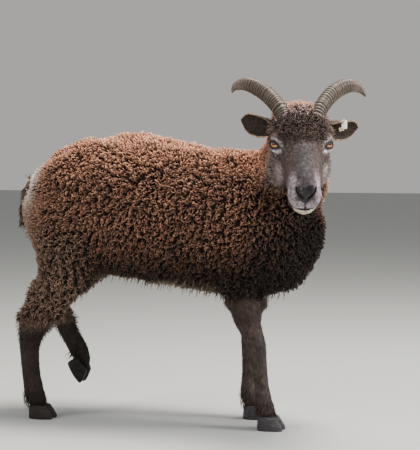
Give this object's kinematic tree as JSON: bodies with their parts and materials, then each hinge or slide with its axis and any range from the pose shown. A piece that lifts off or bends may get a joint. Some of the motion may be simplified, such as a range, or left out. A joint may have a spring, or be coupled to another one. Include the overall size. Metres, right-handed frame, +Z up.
{
  "type": "soay sheep",
  "caption": "Life-size horned Soay ewe in brown fleece, in mid-walk with the left hind foot raised, head turned to the right, plain ear tag.",
  "frame": {"origin": "on the floor, under the middle of the outline", "axes": "+X the way the body faces, +Y to the animal's left, +Z up"},
  "size_m": [0.6822, 0.3686, 0.6398],
  "materials": {
    "fleece": "curly brown wool, sun-bleached at the tips",
    "short_hair": "short dark brown hair",
    "face_hair": "short grey-brown hair, pale at muzzle and round the eyes",
    "horn": "ringed grey-brown horn, satin",
    "claw": "blue-grey hoof horn, worn matt",
    "eye": "wet amber eye with a level dark pupil",
    "tag": "plain off-white plastic"
  },
  "bodies": {
    "root": {"cannon_left": "short_hair", "cannon_right": "short_hair", "claw_fore_left_left": "claw", "claw_fore_left_right": "claw", "claw_fore_right_left": "claw", "claw_fore_right_right": "claw", "claw_hind_left_left": "claw", "claw_hind_left_right": "claw", "claw_hind_right_left": "claw", "claw_hind_right_right": "claw", "ear_left": "short_hair", "ear_right": "short_hair", "ear_tag": "tag", "eye_left": "eye", "eye_right": "eye", "fore_leg_left": "short_hair", "fore_leg_right": "short_hair", "head": "face_hair", "horn_left": "horn", "horn_right": "horn", "neck": "fleece", "tail": "short_hair", "thigh_left": "fleece", "thigh_right": "fleece", "torso": "fleece"}
  },
  "joints": []
}
